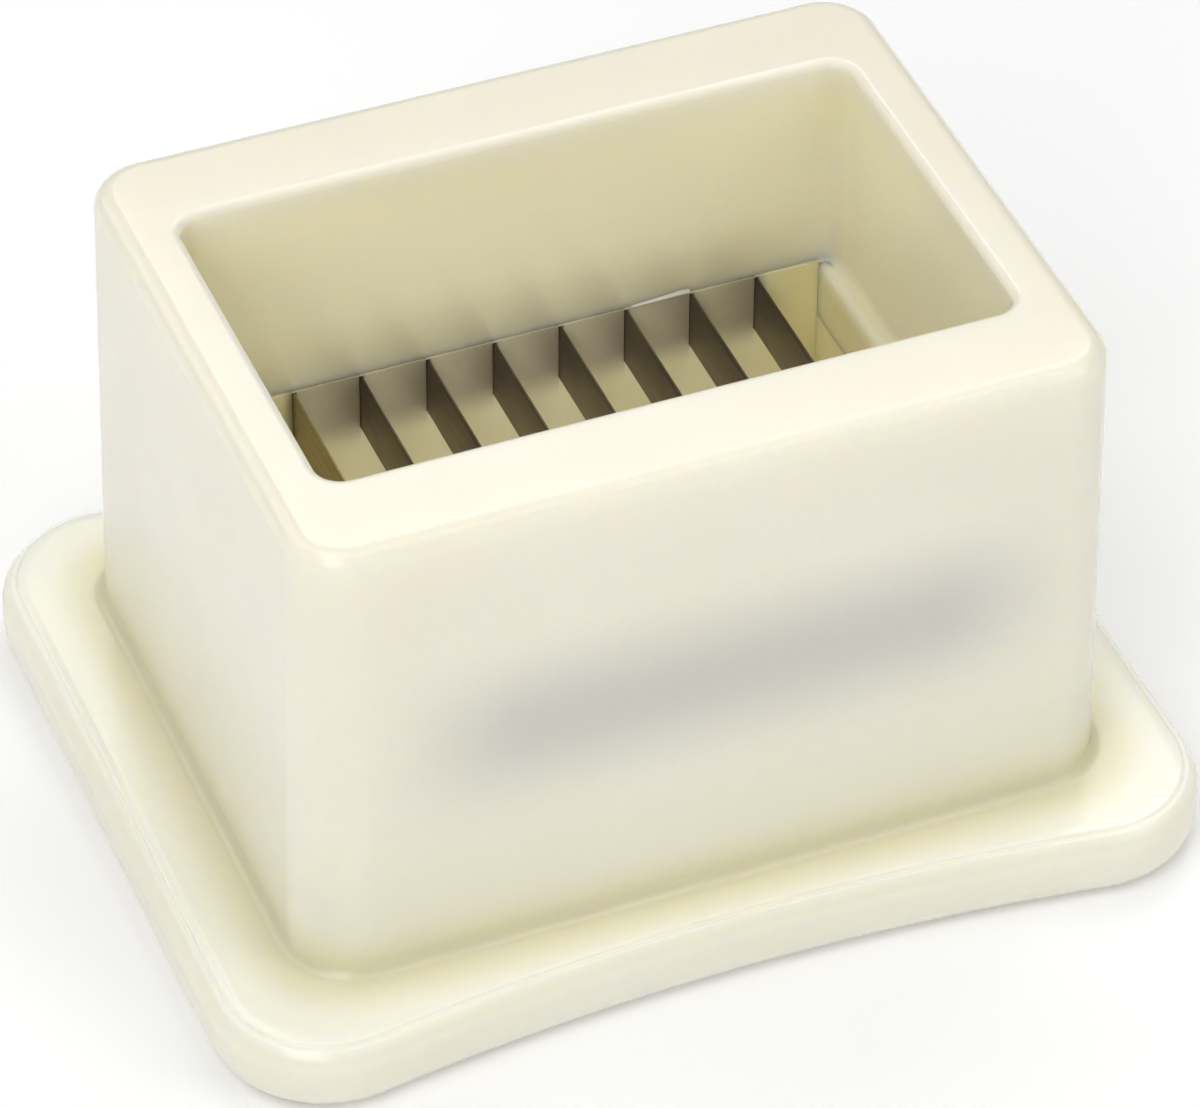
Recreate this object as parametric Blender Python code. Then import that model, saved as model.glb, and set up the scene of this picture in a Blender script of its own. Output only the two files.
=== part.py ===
"""Block egg slicer: a moulded housing with a rectangular chute over a pack of upright blades.

Frame: X runs along the length (and across the blades), Y runs front to back (along the blades),
Z is up. The origin is at the centre of the underside, on the surface that the slicer stands on.
The egg is pressed down the chute, through the blades, and out of the open underside.
"""
import math

import bmesh
import bpy
from mathutils import Vector

MM = 0.001

# Chute: the well that the egg goes down, measured at the rim
CHUTE_LENGTH = 85.6 * MM
CHUTE_WIDTH = 51.0 * MM
CHUTE_CORNER = 3.2 * MM
CHUTE_LIP_ROUNDING = 1.1 * MM
CHUTE_DRAFT = math.radians(0.5)

# Body: the block around the chute
END_WALL = 7.2 * MM
SIDE_WALL = 13.4 * MM
HEIGHT = 72.8 * MM
BODY_CORNER = 6.9 * MM
BODY_DRAFT = math.radians(1.18)
RIM_ROUNDING = 2.5 * MM
FOOT_FILLET = 1.5 * MM

# Flange: the foot plate, waisted along its two long sides for the fingers
FLANGE_THICKNESS = 9.9 * MM
FLANGE_END_REACH = 11.5 * MM
FLANGE_CORNER_REACH = 11.5 * MM
FLANGE_WAIST_REACH = 7.75 * MM
FLANGE_CORNER = 14.3 * MM
FLANGE_EDGE_ROUNDING = 3.5 * MM

# Blade pack
BLADE_COUNT = 8
BLADE_PITCH = 8.65 * MM
BLADE_PACK_SHIFT = 1.6 * MM
BLADE_THICKNESS = 0.5 * MM
BLADE_HEIGHT = 8.0 * MM
BLADE_TOP = 42.5 * MM
BLADE_EDGE_HEIGHT = 0.6 * MM
BLADE_EDGE_WIDTH = 0.2 * MM
LEDGE_WIDTH = 2.4 * MM

# Cassette: two combs that hold the blade ends, and two bars that keep them apart
COMB_THICKNESS = 7.7 * MM
COMB_INSET = 0.25 * MM
SLOT_DEPTH = 6.4 * MM
END_BAR_THICKNESS = 3.6 * MM
SHELF_THICKNESS = 8.6 * MM
TIE_ROD_DIAMETER = 2.5 * MM
TIE_ROD_DROP = 4.3 * MM
NUT_WIDTH = 5.0 * MM
NUT_THICKNESS = 2.0 * MM

# Retaining frame and its screws, under the cassette
FRAME_LIP = 6.0 * MM
FRAME_THICKNESS = 5.0 * MM
FRAME_RECESS = 1.2 * MM
FRAME_CORNER = 6.0 * MM
FRAME_CHAMFER = 0.6 * MM
POCKET_CORNER = 3.0 * MM
SCREW_DIAMETER = 3.0 * MM
SCREW_LENGTH = 15.0 * MM
SCREW_HEAD_DIAMETER = 5.6 * MM
SCREW_HEAD_DEPTH = 1.6 * MM
SCREW_OUTSET = 1.2 * MM
DRIVE_WIDTH = 2.4 * MM
DRIVE_DEPTH = 1.0 * MM

# Gap between pieces that fit, overrun of a cutter past what it cuts, and what counts as touching
FIT = 0.3 * MM
CUT = 2.0 * MM
TOUCH = 0.01 * MM

# Fineness of round shapes
CORNER_STEPS = 6
ROUNDING_STEPS = 4
WAIST_STEPS = 16
SCREW_SIDES = 20
TIE_ROD_SIDES = 12

# A face whose normal leans this little from straight up or down counts as level
LEVEL = 0.9

# Sizes that follow from the ones above
BODY_LENGTH = CHUTE_LENGTH + 2 * END_WALL
BODY_WIDTH = CHUTE_WIDTH + 2 * SIDE_WALL
BODY_SPREAD = (HEIGHT - FLANGE_THICKNESS) * math.tan(BODY_DRAFT)
FLANGE_HALF_LENGTH = BODY_LENGTH / 2 + BODY_SPREAD + FLANGE_END_REACH
FLANGE_HALF_WIDTH = BODY_WIDTH / 2 + BODY_SPREAD + FLANGE_CORNER_REACH
FLANGE_HALF_WAIST = BODY_WIDTH / 2 + BODY_SPREAD + FLANGE_WAIST_REACH
LEDGE_TOP = BLADE_TOP + FIT
CHUTE_NARROWING = (HEIGHT - LEDGE_TOP) * math.tan(CHUTE_DRAFT)
OUTLET_HALF_LENGTH = CHUTE_LENGTH / 2 - CHUTE_NARROWING - LEDGE_WIDTH
OUTLET_HALF_WIDTH = CHUTE_WIDTH / 2 - CHUTE_NARROWING - COMB_INSET
POCKET_HALF_LENGTH = OUTLET_HALF_LENGTH + END_BAR_THICKNESS + FIT
POCKET_HALF_WIDTH = OUTLET_HALF_WIDTH + COMB_THICKNESS + FIT
FRAME_TOP = FRAME_RECESS + FRAME_THICKNESS
POCKET_FLOOR = FRAME_TOP + FIT
SHELF_BOTTOM = LEDGE_TOP - SHELF_THICKNESS
COMB_HALF_LENGTH = POCKET_HALF_LENGTH - FIT
COMB_MIDDLE = OUTLET_HALF_WIDTH + COMB_THICKNESS / 2
BLADE_HALF_LENGTH = OUTLET_HALF_WIDTH + SLOT_DEPTH - FIT
TIE_ROD_LEVEL = BLADE_TOP - TIE_ROD_DROP
TIE_ROD_HOLE = TIE_ROD_DIAMETER + 2 * FIT
NUT_ACROSS_CORNERS = NUT_WIDTH / math.cos(math.radians(30))
NUT_POCKET_DEPTH = NUT_THICKNESS + 2 * FIT
SCREW_X = POCKET_HALF_LENGTH + SCREW_OUTSET
SCREW_Y = POCKET_HALF_WIDTH + SCREW_OUTSET
SCREW_HOLE = SCREW_DIAMETER + 2 * FIT

SIDES = {"front": -1, "rear": 1}
ENDS = {"left": -1, "right": 1}


# ---------------------------------------------------------------- helpers

def clear_scene():
    for item in list(bpy.data.objects):
        bpy.data.objects.remove(item, do_unlink=True)


def make_collection(name):
    collection = bpy.data.collections.new(name)
    bpy.context.scene.collection.children.link(collection)
    return collection


def make_material(name, colour, roughness, metallic=0.0):
    material = bpy.data.materials.new(name)
    material.use_nodes = True
    shader = material.node_tree.nodes["Principled BSDF"]
    shader.inputs["Base Color"].default_value = (*colour, 1.0)
    shader.inputs["Roughness"].default_value = roughness
    shader.inputs["Metallic"].default_value = metallic
    material.diffuse_color = (*colour, 1.0)
    return material


def add_object(name, mesh, collection, material=None):
    piece = bpy.data.objects.new(name, mesh)
    collection.objects.link(piece)
    if material:
        mesh.materials.append(material)
    return piece


def mesh_from(work, name):
    """Turn a finished bmesh into mesh data with its faces pointing out."""
    bmesh.ops.recalc_face_normals(work, faces=work.faces)
    mesh = bpy.data.meshes.new(name)
    work.to_mesh(mesh)
    work.free()
    return mesh


def box_mesh(name, low, high):
    """A block between two opposite corners."""
    low, high = Vector(low), Vector(high)
    work = bmesh.new()
    bmesh.ops.create_cube(work, size=1.0)
    bmesh.ops.scale(work, vec=high - low, verts=work.verts)
    bmesh.ops.translate(work, vec=(low + high) / 2, verts=work.verts)
    return mesh_from(work, name)


def rod_mesh(name, diameter, start, end, sides=SCREW_SIDES):
    """A round (or, with few sides, a prismatic) bar between two points."""
    start, end = Vector(start), Vector(end)
    work = bmesh.new()
    bmesh.ops.create_cone(
        work, cap_ends=True, segments=sides, radius1=diameter / 2,
        radius2=diameter / 2, depth=(end - start).length)
    turn = Vector((0, 0, 1)).rotation_difference(end - start).to_matrix()
    bmesh.ops.rotate(work, cent=(0, 0, 0), matrix=turn, verts=work.verts)
    bmesh.ops.translate(work, vec=(start + end) / 2, verts=work.verts)
    return mesh_from(work, name)


def rounded_rectangle(half_length, half_width, corner):
    """Outline points of a rectangle with round corners, all with the same number of points."""
    points = []
    for quarter, (sign_x, sign_y) in enumerate(((1, 1), (-1, 1), (-1, -1), (1, -1))):
        for step in range(CORNER_STEPS + 1):
            angle = math.radians(90) * (quarter + step / CORNER_STEPS)
            points.append((
                sign_x * (half_length - corner) + corner * math.cos(angle),
                sign_y * (half_width - corner) + corner * math.sin(angle)))
    return points


def loft_mesh(name, sections):
    """A solid through unlike rounded rectangles, given as (z, half length, half width, corner)."""
    work = bmesh.new()
    rings = []
    for level, half_length, half_width, corner in sections:
        outline = rounded_rectangle(half_length, half_width, corner)
        rings.append([work.verts.new((x, y, level)) for x, y in outline])
    count = len(rings[0])
    for lower, upper in zip(rings, rings[1:]):
        for i in range(count):
            j = (i + 1) % count
            work.faces.new((lower[i], lower[j], upper[j], upper[i]))
    work.faces.new(rings[0])
    work.faces.new(rings[-1])
    return mesh_from(work, name)


def boolean(piece, cutter, operation="DIFFERENCE"):
    modifier = piece.modifiers.new(operation.title(), "BOOLEAN")
    modifier.operation = operation
    modifier.solver = "EXACT"
    modifier.object = cutter


def add_cutter(mesh, cutters):
    cutter = add_object(mesh.name, mesh, cutters)
    cutter.hide_render = True
    cutter.display_type = "WIRE"
    return cutter


def join_meshes(name, meshes):
    """Several separate bodies in one mesh, for cutters that work together."""
    work = bmesh.new()
    for mesh in meshes:
        work.from_mesh(mesh)
        bpy.data.meshes.remove(mesh)
    return mesh_from(work, name)


def round_upright_edges(piece, level_y, radius):
    """Round the two upright edges that lie on the plane y = level_y."""
    work = bmesh.new()
    work.from_mesh(piece.data)
    edges = []
    for edge in work.edges:
        start, end = edge.verts[0].co, edge.verts[1].co
        upright = abs(start.z - end.z) > FIT
        if upright and abs(start.y - level_y) < TOUCH and abs(end.y - level_y) < TOUCH:
            edges.append(edge)
    bmesh.ops.bevel(work, geom=edges, offset=radius, offset_type="OFFSET",
                    segments=CORNER_STEPS, profile=0.5, affect="EDGES")
    work.to_mesh(piece.data)
    work.free()


def smooth(piece, angle=35):
    piece.data.shade_smooth()
    piece.data.set_sharp_from_angle(angle=math.radians(angle))


# ---------------------------------------------------------------- housing

def body_sections():
    """Levels of the body: foot fillet, drafted walls and the round outer edge of the rim."""
    slope = math.tan(BODY_DRAFT)
    sections = []

    def add(level, spread):
        sections.append((level, BODY_LENGTH / 2 + spread, BODY_WIDTH / 2 + spread,
                         BODY_CORNER + spread))

    # The fillet ends a little under the flange's top, so that the two bodies cross cleanly.
    sink = FIT / 2
    fillet_top = FLANGE_THICKNESS - sink + FOOT_FILLET
    add(FLANGE_THICKNESS / 2, BODY_SPREAD + FOOT_FILLET)
    for step in range(ROUNDING_STEPS + 1):
        angle = math.radians(90) * step / ROUNDING_STEPS
        level = fillet_top - FOOT_FILLET * math.cos(angle)
        spread = (HEIGHT - level) * slope + FOOT_FILLET * (1 - math.sin(angle))
        add(level, spread)
    shoulder = HEIGHT - RIM_ROUNDING
    for step in range(ROUNDING_STEPS + 1):
        angle = math.radians(90) * step / ROUNDING_STEPS
        level = shoulder + RIM_ROUNDING * math.sin(angle)
        add(level, (HEIGHT - level) * slope - RIM_ROUNDING * (1 - math.cos(angle)))
    return sections


def chute_sections():
    """Levels of the chute: ledge level, tapering walls, round inner lip, and clear above the rim."""
    slope = math.tan(CHUTE_DRAFT)
    sections = []

    def add(level, spread):
        sections.append((level, CHUTE_LENGTH / 2 + spread, CHUTE_WIDTH / 2 + spread,
                         CHUTE_CORNER + spread))

    add(LEDGE_TOP, (LEDGE_TOP - HEIGHT) * slope)
    lip_start = HEIGHT - CHUTE_LIP_ROUNDING
    for step in range(ROUNDING_STEPS + 1):
        angle = math.radians(90) * step / ROUNDING_STEPS
        level = lip_start + CHUTE_LIP_ROUNDING * math.sin(angle)
        add(level, (level - HEIGHT) * slope + CHUTE_LIP_ROUNDING * (1 - math.cos(angle)))
    add(HEIGHT + CUT, CHUTE_LIP_ROUNDING)
    return sections


def arc_points(centre, radius, start, end, steps):
    """Points along an arc, angles in radians, both ends included."""
    points = []
    for step in range(steps + 1):
        angle = start + (end - start) * step / steps
        points.append((centre[0] + radius * math.cos(angle), centre[1] + radius * math.sin(angle)))
    return points


def flange_outline():
    """Straight ends, round corners, and long sides that curve in to the waist."""
    corner_x = FLANGE_HALF_LENGTH - FLANGE_CORNER
    corner_y = FLANGE_HALF_WIDTH - FLANGE_CORNER
    # The waist is one arc about a point outside the flange. It meets both corner arcs in line.
    reach = FLANGE_CORNER - FLANGE_HALF_WAIST
    centre_y = (corner_y ** 2 + corner_x ** 2 - reach ** 2) / (2 * (corner_y + reach))
    radius = centre_y - FLANGE_HALF_WAIST
    lean = math.atan2(corner_x, centre_y - corner_y)
    quarter = math.radians(90)
    points = []
    points += arc_points((corner_x, corner_y), FLANGE_CORNER, 0, quarter + lean, 2 * CORNER_STEPS)
    points += arc_points((0, centre_y), radius, -quarter + lean, -quarter - lean,
                         WAIST_STEPS)[1:-1]
    points += arc_points((-corner_x, corner_y), FLANGE_CORNER, quarter - lean, 2 * quarter,
                         2 * CORNER_STEPS)
    points += [(-x, -y) for x, y in points]
    return points


def flange_mesh(name):
    """The foot plate: a flat outline, made as a filled curve, turned into a mesh."""
    curve = bpy.data.curves.new(name, "CURVE")
    curve.dimensions = "2D"
    curve.fill_mode = "BOTH"
    curve.extrude = FLANGE_THICKNESS / 2
    outline = flange_outline()
    spline = curve.splines.new("POLY")
    spline.points.add(len(outline) - 1)
    for point, (x, y) in zip(spline.points, outline):
        point.co = (x, y, 0, 1)
    spline.use_cyclic_u = True
    carrier = bpy.data.objects.new(name, curve)
    bpy.context.scene.collection.objects.link(carrier)
    evaluated = carrier.evaluated_get(bpy.context.evaluated_depsgraph_get())
    loose = bpy.data.meshes.new_from_object(evaluated)
    bpy.data.objects.remove(carrier)
    work = bmesh.new()
    work.from_mesh(loose)
    bpy.data.meshes.remove(loose)
    bmesh.ops.remove_doubles(work, verts=work.verts, dist=TOUCH)
    flat = [edge for edge in work.edges
            if len(edge.link_faces) == 2 and edge.calc_face_angle(1.0) < math.radians(1)
            and abs(edge.link_faces[0].normal.z) > LEVEL]
    bmesh.ops.dissolve_edges(work, edges=flat, use_verts=False)
    bmesh.ops.translate(work, vec=(0, 0, FLANGE_THICKNESS / 2), verts=work.verts)
    rims = [edge for edge in work.edges
            if len(edge.link_faces) == 2
            and abs(abs(edge.link_faces[0].normal.z) - abs(edge.link_faces[1].normal.z)) > LEVEL]
    bmesh.ops.bevel(work, geom=rims, offset=FLANGE_EDGE_ROUNDING, offset_type="OFFSET",
                    segments=ROUNDING_STEPS, profile=0.5, affect="EDGES")
    return mesh_from(work, name)


def screw_places():
    """Middle of each retaining screw, at the corners of the pocket."""
    return [(sign_x * SCREW_X, sign_y * SCREW_Y) for sign_y in (-1, 1) for sign_x in (-1, 1)]


def make_housing(collection, cutters, plastic):
    """The one-piece moulding: body, flange, chute, and the pocket for the cassette."""
    housing = add_object("housing", loft_mesh("housing", body_sections()), collection, plastic)
    flange = add_cutter(flange_mesh("flange_blank"), cutters)
    boolean(housing, flange, "UNION")

    boolean(housing, add_cutter(loft_mesh("chute_cutter", chute_sections()), cutters))

    lower_pocket = loft_mesh("lower_pocket_cutter", [
        (0.0, POCKET_HALF_LENGTH, POCKET_HALF_WIDTH, POCKET_CORNER),
        (SHELF_BOTTOM, POCKET_HALF_LENGTH, POCKET_HALF_WIDTH, POCKET_CORNER)])
    boolean(housing, add_cutter(lower_pocket, cutters))

    # Above the shelf the pocket goes on only over the combs, and between the two end shelves.
    throat = box_mesh("throat_cutter",
                      (-OUTLET_HALF_LENGTH, -POCKET_HALF_WIDTH, SHELF_BOTTOM - CUT),
                      (OUTLET_HALF_LENGTH, POCKET_HALF_WIDTH, LEDGE_TOP))
    boolean(housing, add_cutter(throat, cutters))
    for side, sign in SIDES.items():
        near = sign * (OUTLET_HALF_WIDTH - FIT)
        far = sign * POCKET_HALF_WIDTH
        comb_space = box_mesh("comb_space_cutter_" + side,
                              (-POCKET_HALF_LENGTH, min(near, far), SHELF_BOTTOM - CUT),
                              (POCKET_HALF_LENGTH, max(near, far), LEDGE_TOP))
        boolean(housing, add_cutter(comb_space, cutters))

    frame_space = loft_mesh("frame_space_cutter", [
        (-CUT, POCKET_HALF_LENGTH + FRAME_LIP, POCKET_HALF_WIDTH + FRAME_LIP, FRAME_CORNER),
        (POCKET_FLOOR, POCKET_HALF_LENGTH + FRAME_LIP, POCKET_HALF_WIDTH + FRAME_LIP,
         FRAME_CORNER)])
    boolean(housing, add_cutter(frame_space, cutters))

    hole_top = FRAME_TOP + SCREW_LENGTH + FIT
    holes = [rod_mesh("hole", SCREW_HOLE, (x, y, POCKET_FLOOR - CUT), (x, y, hole_top))
             for x, y in screw_places()]
    boolean(housing, add_cutter(join_meshes("screw_hole_cutter", holes), cutters))
    smooth(housing)


# ---------------------------------------------------------------- blade cassette

def blade_positions():
    middle = (BLADE_COUNT - 1) / 2
    return [BLADE_PACK_SHIFT + (index - middle) * BLADE_PITCH for index in range(BLADE_COUNT)]


def blade_mesh(name):
    """A strip standing on edge, ground from both faces to a narrow cutting edge on top."""
    top = BLADE_HEIGHT / 2
    mesh = box_mesh(name, (-BLADE_THICKNESS / 2, -BLADE_HALF_LENGTH, -top),
                    (BLADE_THICKNESS / 2, BLADE_HALF_LENGTH, top - BLADE_EDGE_HEIGHT))
    work = bmesh.new()
    work.from_mesh(mesh)
    bpy.data.meshes.remove(mesh)
    crown = [face for face in work.faces if face.normal.z > LEVEL]
    raised = bmesh.ops.extrude_face_region(work, geom=crown)["geom"]
    edge_verts = [item for item in raised if isinstance(item, bmesh.types.BMVert)]
    bmesh.ops.delete(work, geom=crown, context="FACES")
    bmesh.ops.translate(work, vec=(0, 0, BLADE_EDGE_HEIGHT), verts=edge_verts)
    bmesh.ops.scale(work, vec=(BLADE_EDGE_WIDTH / BLADE_THICKNESS, 1, 1), verts=edge_verts)
    return mesh_from(work, name)


def make_blades(collection, cutters, steel):
    """Eight separate strips side by side, each with a tie rod hole near either end."""
    holes = []
    for sign in SIDES.values():
        place = Vector((0, sign * COMB_MIDDLE, TIE_ROD_LEVEL))
        span = Vector((BODY_LENGTH / 2, 0, 0))
        holes.append(rod_mesh("hole", TIE_ROD_HOLE, place - span, place + span, TIE_ROD_SIDES))
    cutter = add_cutter(join_meshes("blade_hole_cutter", holes), cutters)
    for number, x in enumerate(blade_positions(), start=1):
        name = f"blade_{number}"
        blade = add_object(name, blade_mesh(name), collection, steel)
        blade.location = (x, 0, BLADE_TOP - BLADE_HEIGHT / 2)
        boolean(blade, cutter)


def make_comb(side, sign, collection, cutters, plastic):
    """A tall bar slotted for the blade ends, bored for its tie rod, with a nut pocket each end."""
    name = "comb_" + side
    near = sign * OUTLET_HALF_WIDTH
    far = sign * (OUTLET_HALF_WIDTH + COMB_THICKNESS)
    comb = add_object(name, box_mesh(name, (-COMB_HALF_LENGTH, min(near, far), POCKET_FLOOR),
                                     (COMB_HALF_LENGTH, max(near, far), BLADE_TOP)),
                      collection, plastic)
    round_upright_edges(comb, far, POCKET_CORNER)

    slots = []
    for x in blade_positions():
        half = BLADE_THICKNESS / 2 + FIT
        inner = sign * (OUTLET_HALF_WIDTH - CUT)
        outer = sign * (OUTLET_HALF_WIDTH + SLOT_DEPTH)
        slots.append(box_mesh("slot", (x - half, min(inner, outer), BLADE_TOP - BLADE_HEIGHT - FIT),
                              (x + half, max(inner, outer), BLADE_TOP + CUT)))
    boolean(comb, add_cutter(join_meshes("slot_cutter_" + side, slots), cutters))

    middle_y = sign * COMB_MIDDLE
    reach = COMB_HALF_LENGTH + CUT
    bore = rod_mesh("tie_rod_bore_" + side, TIE_ROD_HOLE, (-reach, middle_y, TIE_ROD_LEVEL),
                    (reach, middle_y, TIE_ROD_LEVEL), TIE_ROD_SIDES)
    boolean(comb, add_cutter(bore, cutters))
    pockets = []
    for end in ENDS.values():
        pockets.append(rod_mesh(
            "pocket", NUT_ACROSS_CORNERS + 2 * FIT,
            (end * (COMB_HALF_LENGTH - NUT_POCKET_DEPTH), middle_y, TIE_ROD_LEVEL),
            (end * reach, middle_y, TIE_ROD_LEVEL), TIE_ROD_SIDES))
    boolean(comb, add_cutter(join_meshes("nut_pocket_cutter_" + side, pockets), cutters))


def make_tie_rod(side, sign, collection, steel):
    """The rod that threads every blade end to its comb."""
    name = "tie_rod_" + side
    middle_y = sign * COMB_MIDDLE
    rod = add_object(name, rod_mesh(name, TIE_ROD_DIAMETER,
                                    (-COMB_HALF_LENGTH, middle_y, TIE_ROD_LEVEL),
                                    (COMB_HALF_LENGTH, middle_y, TIE_ROD_LEVEL), TIE_ROD_SIDES),
                     collection, steel)
    smooth(rod)


def make_nut(side, sign, end, end_sign, collection, cutters, steel):
    """A hexagon nut at one end of a tie rod, sunk in the comb."""
    name = f"tie_rod_nut_{side}_{end}"
    middle_y = sign * COMB_MIDDLE
    inner = end_sign * (COMB_HALF_LENGTH - NUT_THICKNESS - FIT)
    outer = end_sign * (COMB_HALF_LENGTH - FIT)
    nut = add_object(name, rod_mesh(name, NUT_ACROSS_CORNERS, (inner, middle_y, TIE_ROD_LEVEL),
                                    (outer, middle_y, TIE_ROD_LEVEL), sides=6),
                     collection, steel)
    bore = rod_mesh(name + "_bore", TIE_ROD_HOLE, (inner - end_sign * CUT, middle_y, TIE_ROD_LEVEL),
                    (outer + end_sign * CUT, middle_y, TIE_ROD_LEVEL), TIE_ROD_SIDES)
    boolean(nut, add_cutter(bore, cutters))


def make_end_bar(end, sign, collection, plastic):
    """A bar between the combs, under the ledge, that closes one end of the outlet."""
    name = "end_bar_" + end
    near = sign * OUTLET_HALF_LENGTH
    far = sign * (OUTLET_HALF_LENGTH + END_BAR_THICKNESS)
    half_width = OUTLET_HALF_WIDTH - FIT
    add_object(name, box_mesh(name, (min(near, far), -half_width, POCKET_FLOOR),
                              (max(near, far), half_width, SHELF_BOTTOM - FIT)),
               collection, plastic)


# ---------------------------------------------------------------- retaining frame

def make_retaining_frame(collection, cutters, plastic):
    """The plate that closes the pocket from below, open in the middle for the slices."""
    half_length = POCKET_HALF_LENGTH + FRAME_LIP - FIT
    half_width = POCKET_HALF_WIDTH + FRAME_LIP - FIT
    corner = FRAME_CORNER - FIT
    frame = add_object("retaining_frame", loft_mesh("retaining_frame", [
        (FRAME_RECESS, half_length - FRAME_CHAMFER, half_width - FRAME_CHAMFER,
         corner - FRAME_CHAMFER),
        (FRAME_RECESS + FRAME_CHAMFER, half_length, half_width, corner),
        (FRAME_TOP, half_length, half_width, corner)]), collection, plastic)
    window = loft_mesh("frame_window_cutter", [
        (FRAME_RECESS - CUT, OUTLET_HALF_LENGTH, OUTLET_HALF_WIDTH, POCKET_CORNER),
        (FRAME_TOP + CUT, OUTLET_HALF_LENGTH, OUTLET_HALF_WIDTH, POCKET_CORNER)])
    boolean(frame, add_cutter(window, cutters))
    holes = []
    sinks = []
    sink_top = FRAME_RECESS + SCREW_HEAD_DEPTH + 2 * FIT
    for x, y in screw_places():
        holes.append(rod_mesh("hole", SCREW_HOLE, (x, y, FRAME_RECESS - CUT),
                              (x, y, FRAME_TOP + CUT)))
        sinks.append(rod_mesh("sink", SCREW_HEAD_DIAMETER + 2 * FIT, (x, y, FRAME_RECESS - CUT),
                              (x, y, sink_top)))
    boolean(frame, add_cutter(join_meshes("frame_hole_cutter", holes), cutters))
    boolean(frame, add_cutter(join_meshes("frame_sink_cutter", sinks), cutters))
    smooth(frame)


def make_retaining_screw(number, x, y, collection, cutters, steel):
    """A pan-head screw with a hexagon socket, driven up through the frame into the housing."""
    name = f"retaining_screw_{number}"
    head_low = FRAME_RECESS + FIT
    head_high = head_low + SCREW_HEAD_DEPTH
    tip = FRAME_TOP + SCREW_LENGTH
    screw = add_object(name, rod_mesh(name, SCREW_HEAD_DIAMETER, (x, y, head_low),
                                      (x, y, head_high)), collection, steel)
    # The shank starts inside the head, so that the two join into one body.
    shank = rod_mesh(name + "_shank", SCREW_DIAMETER, (x, y, head_high - SCREW_HEAD_DEPTH / 4),
                     (x, y, tip))
    boolean(screw, add_cutter(shank, cutters), "UNION")
    socket = rod_mesh(name + "_socket", DRIVE_WIDTH, (x, y, head_low - CUT),
                      (x, y, head_low + DRIVE_DEPTH), sides=6)
    boolean(screw, add_cutter(socket, cutters))
    smooth(screw)


# ---------------------------------------------------------------- the slicer

def build():
    clear_scene()
    collection = make_collection("egg_slicer")
    cutters = make_collection("cutters")
    housing_plastic = make_material("ivory_housing_plastic", (0.86, 0.84, 0.72), 0.35)
    cassette_plastic = make_material("ivory_cassette_plastic", (0.72, 0.67, 0.48), 0.45)
    blade_steel = make_material("blade_steel", (0.12, 0.11, 0.09), 0.35, 1.0)
    fastener_steel = make_material("fastener_steel", (0.55, 0.55, 0.54), 0.3, 1.0)

    make_housing(collection, cutters, housing_plastic)
    make_blades(collection, cutters, blade_steel)
    for side, sign in SIDES.items():
        make_comb(side, sign, collection, cutters, cassette_plastic)
        make_tie_rod(side, sign, collection, fastener_steel)
        for end, end_sign in ENDS.items():
            make_nut(side, sign, end, end_sign, collection, cutters, fastener_steel)
    for end, sign in ENDS.items():
        make_end_bar(end, sign, collection, cassette_plastic)
    make_retaining_frame(collection, cutters, cassette_plastic)
    for number, (x, y) in enumerate(screw_places(), start=1):
        make_retaining_screw(number, x, y, collection, cutters, fastener_steel)


build()
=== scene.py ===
# %% [markdown]
# # A block egg slicer
# This lesson dresses a plain CAD model of an egg slicer. The slicer is one thick ivory moulding with
# a rectangular chute, eight dark blades standing on edge across the chute, and a broad foot flange
# with two curved-in sides for the fingers. The CAD model is loaded first, as a fixed frame. Every
# size that it knows is read from it, so that the finished pieces sit exactly where the CAD ones are.

# %% Load the frame
import math

import bmesh
import bpy
from mathutils import Matrix, Vector


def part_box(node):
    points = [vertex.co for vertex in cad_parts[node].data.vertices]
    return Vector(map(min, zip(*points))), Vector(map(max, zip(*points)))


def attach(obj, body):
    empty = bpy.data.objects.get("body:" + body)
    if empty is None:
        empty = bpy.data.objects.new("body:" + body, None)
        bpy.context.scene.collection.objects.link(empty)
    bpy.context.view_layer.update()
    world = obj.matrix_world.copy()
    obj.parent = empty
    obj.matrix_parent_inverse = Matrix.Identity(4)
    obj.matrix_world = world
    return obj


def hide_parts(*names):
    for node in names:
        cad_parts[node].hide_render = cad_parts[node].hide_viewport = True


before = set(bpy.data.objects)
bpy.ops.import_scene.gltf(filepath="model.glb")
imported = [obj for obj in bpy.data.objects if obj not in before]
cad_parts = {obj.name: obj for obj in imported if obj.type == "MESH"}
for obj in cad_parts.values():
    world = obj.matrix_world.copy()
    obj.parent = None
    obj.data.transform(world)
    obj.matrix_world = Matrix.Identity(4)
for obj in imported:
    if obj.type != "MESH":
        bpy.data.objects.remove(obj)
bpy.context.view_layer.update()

MM = 0.001
print("CAD nodes:", len(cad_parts))

# %% [markdown]
# ## Sizes
# A box tells how far a piece reaches, but not its wall thickness or how round its corners are.
# So the outer sizes come from the frame's boxes and the moulding's own radii are named here.

# %% Read the frame, and name what the boxes don't tell
housing_low, housing_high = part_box("housing")
frame_low, frame_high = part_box("retaining_frame")
comb_low, comb_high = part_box("comb_rear")
bar_low, bar_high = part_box("end_bar_right")
blade_boxes = [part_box(f"blade_{number}") for number in range(1, 9)]

HEIGHT = housing_high.z
FLANGE_HALF_LENGTH = housing_high.x
FLANGE_HALF_WIDTH = housing_high.y
FLANGE_THICKNESS = 9.9 * MM
FLANGE_CORNER = 14.3 * MM
FLANGE_WAIST = 3.75 * MM
FLANGE_ROUNDING = 3.5 * MM

BODY_LENGTH = 100.0 * MM
BODY_WIDTH = 77.8 * MM
BODY_CORNER = 6.9 * MM
BODY_DRAFT = math.tan(math.radians(1.18))
RIM_ROUNDING = 2.5 * MM
FOOT_FILLET = 1.5 * MM

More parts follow.
